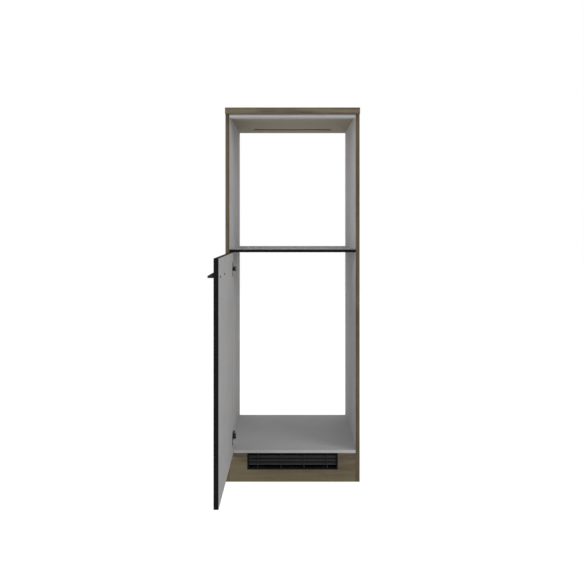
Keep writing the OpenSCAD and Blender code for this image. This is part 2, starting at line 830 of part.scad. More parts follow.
module door_bumpers() {
    color("white") opened() for (z = [door_z + bumper_inset, door_top - bumper_inset])
        translate([door_right - bumper_inset, door_in, z]) rotate([-90, 0, 0]) {
            cylinder(d = bumper_d, h = bumper_t / 2);
            translate([0, 0, bumper_t / 2]) cylinder(d1 = bumper_d, d2 = bumper_d * 0.6, h = bumper_t / 2);
        }
}

left_side_panel();
right_side_panel();
side_edge_bands();
top_panel();
front_top_rail();
oven_shelf();
shelf_front_edge();
bottom_panel();
plinth_panel();
ventilation_grille();
plinth_brackets();
bracket_screws();
panel_dowels();
cam_locks();
cam_bolts();
cam_cover_caps();
hinge_mounting_plates();
plate_screws();
hinge_arms();
arm_pins();
arm_screws();
arm_springs();
inner_links();
outer_links();
hinge_cups();
cup_pins();
cup_screws();
door_panel();
door_edge_band();
door_handle();
handle_screws();
door_bumpers();
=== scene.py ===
"""A tall kitchen cabinet that houses a built-in oven above and a built-in fridge below.

The sections follow the cabinet as it is put together: the side panels first, then the boards between
them, the plinth and its grille, the hidden fittings, the hinges and at last the door.
"""
import math

import bmesh
import bpy
from mathutils import Euler, Matrix, Vector


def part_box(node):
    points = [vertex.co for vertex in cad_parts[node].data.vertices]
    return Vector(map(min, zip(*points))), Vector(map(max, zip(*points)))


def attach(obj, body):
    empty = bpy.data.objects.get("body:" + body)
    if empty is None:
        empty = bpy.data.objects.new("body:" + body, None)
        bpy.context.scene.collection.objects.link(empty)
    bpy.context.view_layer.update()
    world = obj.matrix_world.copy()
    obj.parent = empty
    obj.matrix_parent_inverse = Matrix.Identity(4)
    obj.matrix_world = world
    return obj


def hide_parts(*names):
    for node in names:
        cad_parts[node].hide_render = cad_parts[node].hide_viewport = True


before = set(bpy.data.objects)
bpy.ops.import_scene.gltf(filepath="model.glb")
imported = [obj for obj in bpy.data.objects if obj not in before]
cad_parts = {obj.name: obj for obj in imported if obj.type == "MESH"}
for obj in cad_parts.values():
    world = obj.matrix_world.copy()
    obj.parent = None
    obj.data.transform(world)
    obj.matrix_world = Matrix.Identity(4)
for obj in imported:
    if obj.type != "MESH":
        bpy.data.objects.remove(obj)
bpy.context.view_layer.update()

# Camera: level, at the height of a standing person's waist, about three metres in front of the
# cabinet. The picture's middle lies below the horizon, so the lens is shifted down.
EYE_DISTANCE, EYE_HEIGHT = 3.024, 1.1346
camera_data = bpy.data.cameras.new("photo_camera")
camera_data.lens = 41.61
camera_data.sensor_width = 36.0
camera_data.shift_x = -0.0009
camera_data.shift_y = -0.1099
camera = bpy.data.objects.new("photo_camera", camera_data)
camera.location = (0.0, -EYE_DISTANCE, EYE_HEIGHT)
camera.rotation_euler = (math.radians(90), 0, 0)
bpy.context.scene.collection.objects.link(camera)
bpy.context.scene.camera = camera
bpy.context.scene.view_settings.view_transform = "Standard"


# Studio: a pale floor, an even white surround that metal also mirrors, and three soft lamps. Two
# stand wide to the sides, so that the open door shades the lower niche, and one low in front.
MM = 0.001
WHITE = (1, 1, 1, 1)
# the share of the surround's white that lights the cabinet, while the eye sees it pure white
SURROUND_LIGHT = 0.69


def linear(srgb):
    """Linear RGBA of an sRGB colour such as 0x6B6052, by the sRGB standard's own curve."""
    parts = [(srgb >> shift & 255) / 255 for shift in (16, 8, 0)]
    return [p / 12.92 if p <= 0.04045 else ((p + 0.055) / 1.055) ** 2.4 for p in parts] + [1.0]


def add(tree, kind, inputs=(), stops=(), **settings):
    """A shader node with its settings. An input is a value, or an output socket to link from.

    A colour ramp's stops go from left to right.
    """
    node = tree.nodes.new("ShaderNode" + kind)
    for name, value in settings.items():
        setattr(node, name, value)
    for name, value in dict(inputs).items():
        if isinstance(value, bpy.types.NodeSocket):
            tree.links.new(value, node.inputs[name])
        else:
            node.inputs[name].default_value = value
    for i, (position, colour) in enumerate(stops):
        # a new ramp has two stops already
        elements = node.color_ramp.elements
        stop = elements[i] if i < 2 else elements.new(position)
        stop.position, stop.color = position, colour
    return node


def seen_behind(tree):
    """1 for a look at it, straight, in a mirror or through something clear, and 0 for other light."""
    rays = add(tree, "LightPath")
    seen = add(tree, "Math", {0: rays.outputs["Is Camera Ray"], 1: rays.outputs["Is Glossy Ray"]})
    seen = add(tree, "Math", {0: seen.outputs[0], 1: rays.outputs["Is Transmission Ray"]}, use_clamp=True)
    return seen.outputs[0]


def empty_material(name):
    """A material that has no nodes yet."""
    mat = bpy.data.materials.new(name)
    mat.use_nodes = True
    mat.node_tree.nodes.clear()
    return mat


world = bpy.data.worlds.new("white_surround")
bpy.context.scene.world = world
world.use_nodes = True
tree = world.node_tree
tree.nodes.clear()
light = add(tree, "Background", {"Color": WHITE, "Strength": SURROUND_LIGHT})
white = add(tree, "Background", {"Color": WHITE, "Strength": 1.0})
both = add(tree, "MixShader", {0: seen_behind(tree), 1: light.outputs[0], 2: white.outputs[0]})
add(tree, "OutputWorld", {"Surface": both.outputs[0]})

# the lamps point at a place near the middle of the cabinet's front
LAMP_AIM = Vector((0, 0.1, 0.85))
for name, place, size, power in (
    ("left_softbox", (-3.6, -2.2, 1.7), 2.0, 39),
    ("right_softbox", (3.6, -2.2, 2.3), 2.0, 52),
    ("low_softbox", (-1.6, -3.4, 0.8), 1.6, 22),
):
    lamp = bpy.data.lights.new(name, "AREA")
    lamp.shape, lamp.size, lamp.energy = "SQUARE", size, power
    holder = bpy.data.objects.new(name, lamp)
    holder.location = place
    holder.rotation_euler = (LAMP_AIM - Vector(place)).to_track_quat("-Z", "Y").to_euler()
    bpy.context.scene.collection.objects.link(holder)

# No glow lies between the side panels behind the plinth, and there the floor's paint is near black,
# a painted shadow, which only brightens towards the cabinet's open back. Each pair says, in metres
# from the origin, where the dark ends and where the full glow starts.
UNDER_SIDES, UNDER_PLINTH, OPEN_BACK = (0.285, 0.300), (0.012, 0.0), (0.43, 0.66)
FLOOR_GLOW = 0.9
floor_mat = empty_material("pale_studio_floor")
tree = floor_mat.node_tree
seen = seen_behind(tree)
spot = add(tree, "SeparateXYZ", {0: add(tree, "TexCoord").outputs["Object"]})
across = add(tree, "Math", {0: spot.outputs["X"]}, operation="ABSOLUTE")
beside = add(tree, "MapRange", {"Value": across.outputs[0], "From Min": UNDER_SIDES[0],
                                "From Max": UNDER_SIDES[1]})
before = add(tree, "MapRange", {"Value": spot.outputs["Y"], "From Min": UNDER_PLINTH[0],
                                "From Max": UNDER_PLINTH[1]})
behind = add(tree, "MapRange", {"Value": spot.outputs["Y"], "From Min": OPEN_BACK[0],
                                "From Max": OPEN_BACK[1]}, interpolation_type="SMOOTHSTEP")
outside = add(tree, "Math", {0: beside.outputs[0], 1: before.outputs[0]}, operation="MAXIMUM")
outside = add(tree, "Math", {0: outside.outputs[0], 1: behind.outputs[0]}, operation="MAXIMUM")
# to the eye the floor is nearly all glow, and its weak paint only darkens where a shadow falls,
# while the cabinet is lit by a pale floor. Behind the plinth the paint the eye meets is near black, a
# painted shadow.
shade = add(tree, "Mix", {0: outside.outputs[0], 6: linear(0x1C1C1C), 7: linear(0x7F7F7E)},
            data_type="RGBA")
paint = add(tree, "Mix", {0: seen, 6: linear(0xE6E6E4), 7: shade.outputs[2]}, data_type="RGBA")
matt = add(tree, "BsdfDiffuse", {"Color": paint.outputs[2]})
strength = add(tree, "Math", {0: seen, 1: FLOOR_GLOW}, operation="MULTIPLY")
strength = add(tree, "Math", {0: strength.outputs[0], 1: outside.outputs[0]}, operation="MULTIPLY")
glow = add(tree, "Emission", {"Color": WHITE, "Strength": strength.outputs[0]})
both = add(tree, "AddShader", {0: matt.outputs[0], 1: glow.outputs[0]})
add(tree, "OutputMaterial", {"Surface": both.outputs[0]})
# the floor lies a hair below the cabinet's feet, so that the two are never in one plane
FLOOR_REACH, FLOOR_DROP = 9.0, 0.4 * MM
floor_mesh = bpy.data.meshes.new("studio_floor")
floor_mesh.from_pydata([(-FLOOR_REACH, -FLOOR_REACH, 0), (FLOOR_REACH, -FLOOR_REACH, 0),
                        (FLOOR_REACH, FLOOR_REACH, 0), (-FLOOR_REACH, FLOOR_REACH, 0)],
                       [], [(0, 1, 2, 3)])
floor_mesh.materials.append(floor_mat)
floor = bpy.data.objects.new("studio_floor", floor_mesh)
floor.location.z = -FLOOR_DROP
bpy.context.scene.collection.objects.link(floor)


# Side panels: 18 mm chipboard faced with melamine, printed with a grey-brown oak decor outside and
# plain light grey inside. The grain runs upwards. Their sawn ends and rear edges show the chipboard.
X, Y, Z = 0, 1, 2
REAR_AND_ENDS = ((Y, 1), (Z, 1), (Z, -1))
OAK_DARK, OAK_MID, OAK_LIGHT = 0x4E4438, 0x645A4C, 0x786E5D
OAK_OLIVE, OAK_PORE = 0x71684F, 0x3E352A
GREY = 0xB5B4B4
# widths across the grain of the cloudy figure, the growth rings and the olive clouds
FIGURE_W, RING_W, OLIVE_W = 27.78 * MM, 5 * MM, 58.82 * MM
# real pores are about 0.3 mm wide, and are drawn twice as wide, so that a close look shows them
PORE_W, PORE_DEPTH = 2 / 3 * MM, 0.06 * MM
# the rings sway as the trunk did, by up to half of this to either side
SWAY, SWAY_W = 12 * MM, 41.67 * MM
# the press plate leaves a pearl texture on plain melamine, and the colour drifts over the board
PEARL_W, DRIFT_W = 0.8 * MM, 167 * MM
CHIP_W = 2.381 * MM
# a matt press-plate finish scatters so widely that even a grazing look shows hardly any sheen
GREY_ROUGH, MATT_SPECULAR, MELAMINE_IOR = 0.68, 0.04, 1.5
SAWN_ROUGH = 0.9
# a rounded edge is parted between its two faces at about 45 degrees
LEAN = 0.7


def grained(tree, along, olive, dark, cut):
    """Printed oak: colour, height and roughness sockets, with the grain along one axis.

    The shares of olive and of dark brown in the print are 0 to 1, and `cut` is the place in the
    print, in metres, that the board is cut from.
    """
    place = add(tree, "Mapping", {"Vector": add(tree, "TexCoord").outputs["Object"],
                                  "Location": cut}).outputs[0]
    # rings and pores run 50 times longer than they are wide, the figure and the clouds 10 times
    ring_run = [1 / 50 if axis == along else 1.0 for axis in (X, Y, Z)]
    figure_run = [1 / 10 if axis == along else 1.0 for axis in (X, Y, Z)]
    fine = add(tree, "Mapping", {"Vector": place, "Scale": ring_run})
    wide = add(tree, "Mapping", {"Vector": place, "Scale": figure_run})
    sway = add(tree, "TexNoise", {"Vector": wide.outputs[0], "Scale": 1 / SWAY_W, "Detail": 1.0})
    bend = add(tree, "VectorMath", {0: sway.outputs["Color"], 1: (SWAY,) * 3, 2: fine.outputs[0]},
               operation="MULTIPLY_ADD")
    figure = add(tree, "TexNoise", {"Vector": wide.outputs[0], "Scale": 1 / FIGURE_W, "Detail": 4.0,
                                    "Roughness": 0.6, "Distortion": 0.6})
    rings = add(tree, "TexNoise", {"Vector": bend.outputs[0], "Scale": 1 / RING_W, "Detail": 4.0,
                                   "Roughness": 0.65})
    pores = add(tree, "TexNoise", {"Vector": fine.outputs[0], "Scale": 1 / PORE_W, "Detail": 1.0})
    # the figure makes six tenths of the tone and the rings the rest
    tone = add(tree, "Math", {0: figure.outputs[0], 1: 0.6}, operation="MULTIPLY")
    tone = add(tree, "Math", {0: rings.outputs[0], 1: 0.4, 2: tone.outputs[0]}, operation="MULTIPLY_ADD")
    print_colour = add(tree, "ValToRGB", {0: tone.outputs[0]}, stops=(
        (0.37, linear(OAK_DARK)), (0.5, linear(OAK_MID)), (0.65, linear(OAK_LIGHT))))
    cloud = add(tree, "TexNoise", {"Vector": wide.outputs[0], "Scale": 1 / OLIVE_W, "Detail": 2.0})
    tint = add(tree, "MapRange", {"Value": cloud.outputs[0], "From Min": 0.42, "From Max": 0.62,
                                  "To Max": olive})
    colour = add(tree, "Mix", {0: tint.outputs[0], 6: print_colour.outputs[0], 7: linear(OAK_OLIVE)},
                 data_type="RGBA")
    colour = add(tree, "Mix", {0: dark, 6: colour.outputs[2], 7: linear(OAK_DARK)}, data_type="RGBA")
    # the printed pores are half as dark as real ones
    open_pore = add(tree, "MapRange", {"Value": pores.outputs[0], "From Min": 0.42, "From Max": 0.28,
                                       "To Max": 0.5})
    colour = add(tree, "Mix", {0: open_pore.outputs[0], 6: colour.outputs[2], 7: linear(OAK_PORE)},
                 data_type="RGBA")
    height = add(tree, "Math", {0: 1.0, 1: open_pore.outputs[0]}, operation="SUBTRACT")
    rough = add(tree, "MapRange", {"Value": rings.outputs[0], "To Min": 0.6, "To Max": 0.76})
    return colour.outputs[2], height.outputs[0], rough.outputs[0]


def plain_melamine(tree, colour=GREY, vary=0x020202):
    """Plain melamine: sockets of a colour that drifts a little and of the pearl texture's height."""
    coords = add(tree, "TexCoord")
    pearl = add(tree, "TexNoise", {"Vector": coords.outputs["Object"], "Scale": 1 / PEARL_W, "Detail": 2.0})
    drift = add(tree, "TexNoise", {"Vector": coords.outputs["Object"], "Scale": 1 / DRIFT_W, "Detail": 2.0})
    tone = add(tree, "ValToRGB", {0: drift.outputs[0]}, stops=(
        (0.35, linear(colour - vary)), (0.65, linear(colour + vary))))
    return tone.outputs[0], pearl.outputs[0]


def chips(tree):
    """Sawn chipboard: the colour of pressed wood chips, tan with darker and paler ones."""
    coords = add(tree, "TexCoord")
    flakes = add(tree, "TexVoronoi", {"Vector": coords.outputs["Object"], "Scale": 1 / CHIP_W})
    tone = add(tree, "ValToRGB", {0: flakes.outputs["Color"]}, stops=(
        (0.1, linear(0x8E7657)), (0.5, linear(0xAC9674)), (0.9, linear(0xC8B491))))
    return tone.outputs[0]


def facing(tree, axis, sign):
    """1 where the face looks along that axis of the piece itself, else 0."""
    coords = add(tree, "TexCoord")
    normal = add(tree, "SeparateXYZ", {0: coords.outputs["Normal"]})
    side = add(tree, "Math", {0: normal.outputs[axis], 1: float(sign)}, operation="MULTIPLY")
    return add(tree, "Math", {0: side.outputs[0], 1: LEAN}, operation="GREATER_THAN").outputs[0]


def oak_board(name, along, grey_sides=(), sawn_sides=(), foil=None, foil_from=0.0, olive=0.2, dark=0.0,
              cut=(0, 0, 0)):
    """Faced chipboard: oak print, with grey melamine or bare chips on some faces.

    A backing foil, where there is one, covers the underside from the depth `foil_from` to the rear.
    """
    mat = empty_material(name)
    tree = mat.node_tree
    colour, depth, rough = grained(tree, along, olive, dark, cut)
    if foil is not None:
        spot = add(tree, "SeparateXYZ", {0: add(tree, "TexCoord").outputs["Object"]})
        behind = add(tree, "Math", {0: spot.outputs["Y"], 1: foil_from}, operation="GREATER_THAN")
        mask = add(tree, "Math", {0: facing(tree, Z, -1), 1: behind.outputs[0]}, operation="MULTIPLY")
        colour = add(tree, "Mix", {0: mask.outputs[0], 6: colour, 7: linear(foil)},
                     data_type="RGBA").outputs[2]
    if grey_sides:
        plain, pearl = plain_melamine(tree)
        for axis, sign in grey_sides:
            mask = facing(tree, axis, sign)
            colour = add(tree, "Mix", {0: mask, 6: colour, 7: plain}, data_type="RGBA").outputs[2]
            depth = add(tree, "Mix", {0: mask, 2: depth, 3: pearl}).outputs[0]
            rough = add(tree, "Mix", {0: mask, 2: rough, 3: GREY_ROUGH}).outputs[0]
    for axis, sign in sawn_sides:
        mask = facing(tree, axis, sign)
        colour = add(tree, "Mix", {0: mask, 6: colour, 7: chips(tree)}, data_type="RGBA").outputs[2]
        rough = add(tree, "Mix", {0: mask, 2: rough, 3: SAWN_ROUGH}).outputs[0]
    bump = add(tree, "Bump", {"Height": depth, "Distance": PORE_DEPTH, "Strength": 0.5})
    shader = add(tree, "BsdfPrincipled", {"Base Color": colour, "Roughness": rough, "IOR": MELAMINE_IOR,
                                          "Specular IOR Level": MATT_SPECULAR, "Normal": bump.outputs[0]})
    add(tree, "OutputMaterial", {"Surface": shader.outputs[0]})
    return mat


def dress(node, mat):
    """Gives a CAD node its material in place of the plain CAD one."""
    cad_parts[node].data.materials.clear()
    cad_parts[node].data.materials.append(mat)


dress("left_side_panel",
      oak_board("oak_melamine_left", Z, grey_sides=((X, 1),), sawn_sides=REAR_AND_ENDS))
dress("right_side_panel",
      oak_board("oak_melamine_right", Z, grey_sides=((X, -1),), sawn_sides=REAR_AND_ENDS))


# Edge bands of the sides: 1 mm strips in the oak print, glued to the front edges with hot glue and
# milled flush with a small radius. Their print is a shade darker than the panels'.
MILLED_R = 0.7 * MM
# points closer together than this are one point
TOUCHING = 0.001 * MM


def new_piece(name, shape, mat, body, slot, *nodes):
    """Makes an object of a bmesh, hangs it on the empty of the body it rides on and hides the CAD nodes
    that it stands for.
    """
    mesh = bpy.data.meshes.new(name)
    shape.to_mesh(mesh)
    shape.free()
    mesh.shade_smooth()
    mesh.set_sharp_from_angle(angle=math.radians(40))
    mesh.materials.append(mat)
    piece = bpy.data.objects.new(name, mesh)
    bpy.context.scene.collection.objects.link(piece)
    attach(piece, body)
    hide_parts(*nodes)


def add_bar(shape, low, high, radius, rounded):
    """Adds a bar between two corners and rounds the edges that the test `rounded` picks."""
    made = set(bmesh.ops.create_cube(shape, size=1.0)["verts"])
    middle, span = (Vector(low) + Vector(high)) / 2, Vector(high) - Vector(low)
    for v in made:
        v.co = middle + Vector([c * s for c, s in zip(v.co, span)])
    edges = [e for e in shape.edges if made.issuperset(e.verts) and rounded(e, middle)]
    bmesh.ops.bevel(shape, geom=edges, offset=radius, segments=3, profile=0.5, affect="EDGES")


def front_upright(edge, middle):
    """An edge that stands upright, in front of the middle."""
    a, b = (v.co for v in edge.verts)
    return abs(a.z - b.z) > TOUCHING and a.y < middle.y


band_low, band_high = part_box("side_edge_bands")
panel_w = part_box("left_side_panel")[1].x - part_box("left_side_panel")[0].x
shape = bmesh.new()
for x in (band_low.x, band_high.x - panel_w):
    add_bar(shape, (x, band_low.y, band_low.z), (x + panel_w, band_high.y, band_high.z),
            MILLED_R, front_upright)
new_piece("side_edge_strips", shape, oak_board("oak_edge_strip", Z, dark=0.35), "carcass",
          "wood_decor_edging", "side_edge_bands")


# Top panel: a 28 mm board with the oak print above, on its edges and under the overhang, its grain
# running across, and a plain greige backing foil below. The rear edge is sawn, and a slot for warm
# air is routed through.
FOIL = 0xA39B8B
SLOT_W, SLOT_D, SLOT_FROM_BACK, SLOT_R = 400 * MM, 36 * MM, 126 * MM, 6 * MM
TOP_ARRIS = 0.6 * MM


def add_outline(shape, rings, low, high, arris, turn=Matrix(), steps=2):
    """Adds a slab between two levels from rings of points, holes included, with rounded edges.

    The rings lie in X and Y and the levels along Z, before the slab is turned.
    """
    curve = bpy.data.curves.new("outline", "CURVE")
    curve.dimensions, curve.fill_mode = "2D", "BOTH"
    for ring in rings:
        spline = curve.splines.new("POLY")
        spline.points.add(len(ring) - 1)
        spline.use_cyclic_u = True
        for point, (x, y) in zip(spline.points, ring):
            point.co = (x, y, 0, 1)
    curve.bevel_depth, curve.bevel_resolution = arris, steps
    curve.offset = -arris
    curve.extrude = (high - low) / 2 - arris
    holder = bpy.data.objects.new("outline", curve)
    bpy.context.scene.collection.objects.link(holder)
    bpy.context.view_layer.update()
    old = set(shape.verts)
    shape.from_mesh(holder.to_mesh())
    bpy.data.objects.remove(holder)
    made = [v for v in shape.verts if v not in old]
    bmesh.ops.translate(shape, verts=made, vec=(0, 0, (high + low) / 2))
    bmesh.ops.transform(shape, verts=made, matrix=turn)
    bmesh.ops.remove_doubles(shape, verts=made, dist=TOUCHING)


def rounded_ring(x0, x1, y0, y1, radius, steps=6):
    """Corner points of a rectangle whose corners are rounded."""
    ring = []
    for cx, cy, start in ((x1 - radius, y1 - radius, 0), (x0 + radius, y1 - radius, 90),
                          (x0 + radius, y0 + radius, 180), (x1 - radius, y0 + radius, 270)):
        for k in range(steps + 1):
            angle = math.radians(start + 90 * k / steps)
            ring.append((cx + radius * math.cos(angle), cy + radius * math.sin(angle)))
    return ring


top_low, top_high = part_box("top_panel")
rail_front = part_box("front_top_rail")[0].y
slot_y = top_high.y - SLOT_FROM_BACK
board_ring = [(top_low.x, top_low.y), (top_high.x, top_low.y), (top_high.x, top_high.y),
              (top_low.x, top_high.y)]
slot_ring = rounded_ring(-SLOT_W / 2, SLOT_W / 2, slot_y - SLOT_D / 2, slot_y + SLOT_D / 2, SLOT_R)
top_board = oak_board("oak_melamine_top", X, sawn_sides=((Y, 1),), foil=FOIL, foil_from=rail_front)
shape = bmesh.new()
add_outline(shape, [board_ring, slot_ring], top_low.z, top_high.z, TOP_ARRIS)
new_piece("top_board", shape, top_board, "carcass", "wood_decor_board", "top_panel")


# Boards between the sides: chipboard in light grey melamine, held by dowels and eccentric locks. The
# top rail's and the bottom panel's front edges carry a strip of the same grey, and the ends and the
# rear edges are sawn.
PEARL_DEPTH = 0.04 * MM


def grey_melamine(name, sawn_sides=()):
    """Light grey melamine with a matt pearl skin, and bare chips on the sawn faces."""
    mat = empty_material(name)
    tree = mat.node_tree
    colour, pearl = plain_melamine(tree)
    for axis, sign in sawn_sides:
        mask = facing(tree, axis, sign)
        colour = add(tree, "Mix", {0: mask, 6: colour, 7: chips(tree)}, data_type="RGBA").outputs[2]
    bump = add(tree, "Bump", {"Height": pearl, "Distance": PEARL_DEPTH, "Strength": 0.2})
    shader = add(tree, "BsdfPrincipled", {"Base Color": colour, "Roughness": GREY_ROUGH,
                                          "IOR": MELAMINE_IOR, "Specular IOR Level": MATT_SPECULAR,
                                          "Normal": bump.outputs[0]})
    add(tree, "OutputMaterial", {"Surface": shader.outputs[0]})
    return mat


def softened(node, radius, picked):
    """A copy of a CAD node's shape, with the edges rounded that the test `picked` picks."""
    shape = bmesh.new()
    shape.from_mesh(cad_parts[node].data)
    bmesh.ops.remove_doubles(shape, verts=shape.verts, dist=2 * TOUCHING)
    # the triangles of one flat face become one face again
    bmesh.ops.dissolve_limit(shape, angle_limit=math.radians(0.5), verts=shape.verts, edges=shape.edges)
    bmesh.ops.bevel(shape, geom=[e for e in shape.edges if picked(e)], offset=radius, segments=2,
                    profile=0.5, affect="EDGES", clamp_overlap=True)
    return shape


def front_across(edge, limit):
    """An edge over 10 mm long that runs across, in front of the point `limit`."""
    a, b = (v.co for v in edge.verts)
    return abs(a.x - b.x) > 10 * MM and a.y < limit.y and b.y < limit.y


grey_deck = grey_melamine("grey_melamine", sawn_sides=((Y, 1), (X, 1), (X, -1)))
dress("oven_shelf", grey_deck)
for node, name in (("front_top_rail", "top_rail_board"), ("bottom_panel", "bottom_board")):
    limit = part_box(node)[0] + Vector((0, MM, 0))
    shape = softened(node, MILLED_R, lambda edge: front_across(edge, limit))
    new_piece(name, shape, grey_deck, "carcass", "light_grey_board", node)


# Shelf's front edge: a 2 mm strip of black ABS, glued on and milled with rounded corners. It matches
# the door's edges.
SHELF_STRIP_R = 1.1 * MM
# the usual value for ABS, which also suits the resin of the handle's powder coat
BLACK_IOR = 1.53
# the black changes slowly and barely visibly over a piece
BLACK_DRIFT_W = 71.43 * MM


def matt_black(name, colour, rough, grain_mm, depth_mm):
    """A matt black skin over a fine grain, whose width and depth are given in millimetres."""
    mat = empty_material(name)
    tree = mat.node_tree
    coords = add(tree, "TexCoord")
    grain = add(tree, "TexNoise", {"Vector": coords.outputs["Object"], "Scale": 1 / (grain_mm * MM),
                                   "Detail": 3.0})
    drift = add(tree, "TexNoise", {"Vector": coords.outputs["Object"], "Scale": 1 / BLACK_DRIFT_W,
                                   "Detail": 2.0})
    tone = add(tree, "ValToRGB", {0: drift.outputs[0]}, stops=(
        (0.3, linear(colour - 0x020202)), (0.7, linear(colour + 0x020202))))
    gloss = add(tree, "MapRange", {"Value": grain.outputs[0], "To Min": rough - 0.06,
                                   "To Max": rough + 0.06})
    bump = add(tree, "Bump", {"Height": grain.outputs[0], "Distance": depth_mm * MM, "Strength": 0.5})
    # the grain breaks up the sheen, so that little of it is left at any angle
    shader = add(tree, "BsdfPrincipled", {"Base Color": tone.outputs[0], "Roughness": gloss.outputs[0],
                                          "IOR": BLACK_IOR, "Specular IOR Level": 0.025,
                                          "Normal": bump.outputs[0]})
    add(tree, "OutputMaterial", {"Surface": shader.outputs[0]})
    return mat


# extruded ABS with a shallow leather grain looks evenly black, with no glint along the strip
edge_abs = matt_black("black_abs_edging", 0x161618, 0.55, grain_mm=0.6, depth_mm=0.02)
edge_low, edge_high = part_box("shelf_front_edge")
shape = bmesh.new()
add_bar(shape, edge_low, edge_high, SHELF_STRIP_R, front_across)
new_piece("shelf_edge_strip", shape, edge_abs, "carcass", "black_edging", "shelf_front_edge")


# Plinth: a board in the oak print between the sides, grain across, notched for the grille and held by
# angles behind. It is cut from a more olive stretch of the print.
dress("plinth_panel", oak_board("oak_melamine_plinth", X, sawn_sides=((Z, -1), (Y, 1)), olive=0.65,
                                cut=(0.3, 0.0, 0.5)))


# Ventilation grille: one black ABS moulding with a thin lip over the plinth's face, a sleeve through
# it, sloping louvres, upright ribs and snap hooks behind. Moulded edges have a small radius. The lip
# and the sleeve are rougher and painted near black, a painted shade, and the smoother louvres are painted a
# lighter black, a painted light.
LIP, WALL, VENT_ARRIS = 4 * MM, 2 * MM, 0.3 * MM
LIP_R, SLEEVE_R = 1.2 * MM, 0.6 * MM
# the sleeve has 0.5 mm of room in the notch and ends 2 mm short of the plinth's rear face
PLAY, SLEEVE_SHORT = 0.5 * MM, 2 * MM
# the first louvre's middle lies 16.4 mm below the lip's top
LOUVRES, LOUVRE_PITCH, FIRST_LOUVRE = 3, 15.7 * MM, 16.4 * MM
LOUVRE_RISE, LOUVRE_DEPTH, LOUVRE_T = 8 * MM, 12 * MM, 2 * MM
RIBS, RIB_PITCH, RIB_T = 4, 103.5 * MM, 2.4 * MM
# a hook's flat tip ends 1 mm behind the plinth, and from there it slopes back to the sleeve
HOOK_W, HOOK_REACH, HOOK_FLAT, HOOK_SLOPE, HOOK_ARRIS = 20 * MM, 1.5 * MM, 1 * MM, 3 * MM, 0.2 * MM
# turns outlines drawn on the plinth's face, with levels towards the front, and profiles drawn as
# seen from the right, with levels to the right
ON_FACE = Matrix.Rotation(math.radians(90), 4, "X")
IN_PROFILE = Euler((math.radians(90), 0, math.radians(90))).to_matrix().to_4x4()

vent_low, vent_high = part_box("ventilation_grille")
plinth_front, plinth_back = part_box("plinth_panel")[0].y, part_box("plinth_panel")[1].y
sleeve_w, sleeve_low, sleeve_high = vent_high.x - LIP - PLAY, vent_low.z + LIP + PLAY, vent_high.z - PLAY
hole = rounded_ring(-sleeve_w + WALL, sleeve_w - WALL, sleeve_low + WALL, sleeve_high - WALL, SLEEVE_R, 2)
lip = rounded_ring(vent_low.x, vent_high.x, vent_low.z, vent_high.z, LIP_R, 3)
sleeve = rounded_ring(-sleeve_w, sleeve_w, sleeve_low, sleeve_high, SLEEVE_R, 2)
# the lip's and the sleeve's near-black colour is a painted shade
frame_abs_painted_shade = matt_black("black_abs_frame_painted_shade", 0x141415, 0.6, grain_mm=0.5, depth_mm=0.05)
shape = bmesh.new()
add_outline(shape, [lip, hole], -plinth_front, -vent_low.y, VENT_ARRIS, ON_FACE)
add_outline(shape, [sleeve, hole], SLEEVE_SHORT - plinth_back, VENT_ARRIS - plinth_front, VENT_ARRIS,
            ON_FACE)
new_piece("grille_frame", shape, frame_abs_painted_shade, "carcass", "black_moulded_plastic", "ventilation_grille")

shape = bmesh.new()
for i in range(LOUVRES):
    # a blade with a blunt nose in front, which rises towards the rear
    y, z, t = plinth_front, vent_high.z - FIRST_LOUVRE - i * LOUVRE_PITCH, LOUVRE_T
    low, high = z - LOUVRE_RISE / 2, z + LOUVRE_RISE / 2
    blade = [(y, low), (y + 0.6 * t, low - 0.5 * t), (y + LOUVRE_DEPTH, high - 0.5 * t),
             (y + LOUVRE_DEPTH, high + 0.5 * t), (y + 0.3 * t, low + 0.6 * t)]
    add_outline(shape, [blade], WALL / 2 - sleeve_w, sleeve_w - WALL / 2, VENT_ARRIS, IN_PROFILE)
for i in range(RIBS):
    x = (i - (RIBS - 1) / 2) * RIB_PITCH
    rib = rounded_ring(x - RIB_T / 2, x + RIB_T / 2, sleeve_low + WALL / 2, sleeve_high - WALL / 2,
                       VENT_ARRIS, 2)
    add_outline(shape, [rib], -plinth_front - LOUVRE_DEPTH, -plinth_front + PLAY, VENT_ARRIS, ON_FACE)
# each hook springs from the middle of the sleeve's wall, three below and one at each side
root = -WALL / 2
flat_from, flat_to = plinth_back + PLAY, plinth_back + HOOK_FLAT
hook_end = flat_to + HOOK_SLOPE
hook = [(root, plinth_front), (0, plinth_front), (0, flat_from), (HOOK_REACH, flat_from),
        (HOOK_REACH, flat_to), (0, hook_end), (root, hook_end)]
middle_z = (sleeve_low + sleeve_high) / 2
down, left = Matrix.Rotation(math.radians(90), 4, "Y"), Matrix.Rotation(math.radians(180), 4, "Y")
hook_places = [Matrix.Translation((x, 0, sleeve_low)) @ down
               for x in (-vent_high.x * 2 / 3, 0, vent_high.x * 2 / 3)]
hook_places += [Matrix.Translation((sleeve_w, 0, middle_z)),
                Matrix.Translation((-sleeve_w, 0, middle_z)) @ left]
for place in hook_places:
    add_outline(shape, [hook], -HOOK_W / 2, HOOK_W / 2, HOOK_ARRIS, place)
# the louvres' lighter black is painted light on their sloping faces
louvre_abs_painted_light = matt_black("black_abs_louvres_painted_light", 0x383839, 0.46, grain_mm=0.5, depth_mm=0.03)
new_piece("grille_louvres", shape, louvre_abs_painted_light, "carcass", "black_moulded_plastic", "ventilation_grille")


# Hidden fittings: zinc-plated steel angles, screws, bolts and eccentric locks hold the boards, with
# glued beech dowels beside them and light grey plastic caps pushed over the locks.
HAZE_W = 3 * MM
# real hairlines are far too fine to show and are drawn this wide
HAIRLINE_W, HAIRLINE_DEPTH = 0.25 * MM, 0.01 * MM


